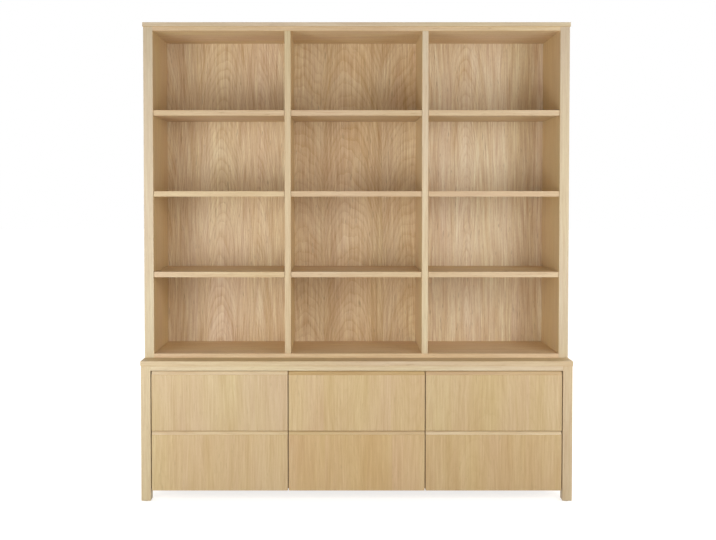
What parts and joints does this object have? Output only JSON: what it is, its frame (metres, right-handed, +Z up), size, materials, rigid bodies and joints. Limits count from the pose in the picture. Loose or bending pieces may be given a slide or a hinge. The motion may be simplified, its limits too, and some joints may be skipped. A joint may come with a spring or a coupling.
{
  "type": "bookcase",
  "caption": "Tall oak bookcase: an open shelf unit in columns and rows stands on a deeper base of sliding drawers with bevelled grip edges.",
  "frame": {"origin": "on the floor under the centre of the whole bookcase", "axes": "+Z up; the drawers open towards -Y; +X to the right of someone who faces the front"},
  "size_m": [1.806, 0.45, 2.01],
  "materials": {
    "solid_oak": "matt lacquer",
    "oak_veneer_board": "matt lacquer",
    "oak_back_panel": "matt lacquer",
    "oak_drawer_front": "matt lacquer",
    "drawer_box_wood": "matt lacquer",
    "zinc_plated_steel": "zinc plated",
    "nylon": "moulded"
  },
  "bodies": {
    "root": {"hutch_cap": "solid_oak", "hutch_top_panel": "oak_veneer_board", "hutch_side_left": "solid_oak", "hutch_side_right": "solid_oak", "hutch_divider_left": "solid_oak", "hutch_divider_right": "solid_oak", "hutch_bottom_panel": "oak_veneer_board", "shelf_left_lower": "oak_veneer_board", "shelf_left_middle": "oak_veneer_board", "shelf_left_upper": "oak_veneer_board", "shelf_centre_lower": "oak_veneer_board", "shelf_centre_middle": "oak_veneer_board", "shelf_centre_upper": "oak_veneer_board", "shelf_right_lower": "oak_veneer_board", "shelf_right_middle": "oak_veneer_board", "shelf_right_upper": "oak_veneer_board", "hutch_back_left": "oak_back_panel", "hutch_back_centre": "oak_back_panel", "hutch_back_right": "oak_back_panel", "shelf_pins": "zinc_plated_steel", "base_top": "solid_oak", "base_front_rail": "solid_oak", "base_rear_rail": "solid_oak", "leg_front_left": "solid_oak", "leg_front_right": "solid_oak", "leg_rear_left": "solid_oak", "leg_rear_right": "solid_oak", "base_side_left": "oak_veneer_board", "base_side_right": "oak_veneer_board", "base_partition_left": "oak_veneer_board", "base_partition_right": "oak_veneer_board", "base_bottom_panel": "oak_veneer_board", "base_back_panel": "oak_back_panel", "foot_glides": "nylon", "hutch_fixing_bolts": "zinc_plated_steel", "cabinet_runners": "zinc_plated_steel"},
    "drawer_left_lower": {"drawer_left_lower_front": "oak_drawer_front", "drawer_left_lower_box": "drawer_box_wood", "drawer_left_lower_runners": "zinc_plated_steel"},
    "drawer_left_lower_mid": {"drawer_left_lower_mid_runners": "zinc_plated_steel"},
    "drawer_left_upper": {"drawer_left_upper_front": "oak_drawer_front", "drawer_left_upper_box": "drawer_box_wood", "drawer_left_upper_runners": "zinc_plated_steel"},
    "drawer_left_upper_mid": {"drawer_left_upper_mid_runners": "zinc_plated_steel"},
    "drawer_centre_lower": {"drawer_centre_lower_front": "oak_drawer_front", "drawer_centre_lower_box": "drawer_box_wood", "drawer_centre_lower_runners": "zinc_plated_steel"},
    "drawer_centre_lower_mid": {"drawer_centre_lower_mid_runners": "zinc_plated_steel"},
    "drawer_centre_upper": {"drawer_centre_upper_front": "oak_drawer_front", "drawer_centre_upper_box": "drawer_box_wood", "drawer_centre_upper_runners": "zinc_plated_steel"},
    "drawer_centre_upper_mid": {"drawer_centre_upper_mid_runners": "zinc_plated_steel"},
    "drawer_right_lower": {"drawer_right_lower_front": "oak_drawer_front", "drawer_right_lower_box": "drawer_box_wood", "drawer_right_lower_runners": "zinc_plated_steel"},
    "drawer_right_lower_mid": {"drawer_right_lower_mid_runners": "zinc_plated_steel"},
    "drawer_right_upper": {"drawer_right_upper_front": "oak_drawer_front", "drawer_right_upper_box": "drawer_box_wood", "drawer_right_upper_runners": "zinc_plated_steel"},
    "drawer_right_upper_mid": {"drawer_right_upper_mid_runners": "zinc_plated_steel"}
  },
  "joints": [
    {"name": "drawer_left_lower_slide", "type": "slide", "parent": "root", "child": "drawer_left_lower", "axis": [0, -1, 0], "range_m": [0, 0.4]},
    {"name": "drawer_left_lower_mid_slide", "type": "slide", "parent": "root", "child": "drawer_left_lower_mid", "axis": [0, -1, 0], "range_m": [0, 0.2]},
    {"name": "drawer_left_upper_slide", "type": "slide", "parent": "root", "child": "drawer_left_upper", "axis": [0, -1, 0], "range_m": [0, 0.4]},
    {"name": "drawer_left_upper_mid_slide", "type": "slide", "parent": "root", "child": "drawer_left_upper_mid", "axis": [0, -1, 0], "range_m": [0, 0.2]},
    {"name": "drawer_centre_lower_slide", "type": "slide", "parent": "root", "child": "drawer_centre_lower", "axis": [0, -1, 0], "range_m": [0, 0.4]},
    {"name": "drawer_centre_lower_mid_slide", "type": "slide", "parent": "root", "child": "drawer_centre_lower_mid", "axis": [0, -1, 0], "range_m": [0, 0.2]},
    {"name": "drawer_centre_upper_slide", "type": "slide", "parent": "root", "child": "drawer_centre_upper", "axis": [0, -1, 0], "range_m": [0, 0.4]},
    {"name": "drawer_centre_upper_mid_slide", "type": "slide", "parent": "root", "child": "drawer_centre_upper_mid", "axis": [0, -1, 0], "range_m": [0, 0.2]},
    {"name": "drawer_right_lower_slide", "type": "slide", "parent": "root", "child": "drawer_right_lower", "axis": [0, -1, 0], "range_m": [0, 0.4]},
    {"name": "drawer_right_lower_mid_slide", "type": "slide", "parent": "root", "child": "drawer_right_lower_mid", "axis": [0, -1, 0], "range_m": [0, 0.2]},
    {"name": "drawer_right_upper_slide", "type": "slide", "parent": "root", "child": "drawer_right_upper", "axis": [0, -1, 0], "range_m": [0, 0.4]},
    {"name": "drawer_right_upper_mid_slide", "type": "slide", "parent": "root", "child": "drawer_right_upper_mid", "axis": [0, -1, 0], "range_m": [0, 0.2]}
  ],
  "couplings": [
    {"joint": "drawer_left_lower_mid_slide", "follows": "drawer_left_lower_slide", "ratio": 0.5},
    {"joint": "drawer_left_upper_mid_slide", "follows": "drawer_left_upper_slide", "ratio": 0.5},
    {"joint": "drawer_centre_lower_mid_slide", "follows": "drawer_centre_lower_slide", "ratio": 0.5},
    {"joint": "drawer_centre_upper_mid_slide", "follows": "drawer_centre_upper_slide", "ratio": 0.5},
    {"joint": "drawer_right_lower_mid_slide", "follows": "drawer_right_lower_slide", "ratio": 0.5},
    {"joint": "drawer_right_upper_mid_slide", "follows": "drawer_right_upper_slide", "ratio": 0.5}
  ]
}
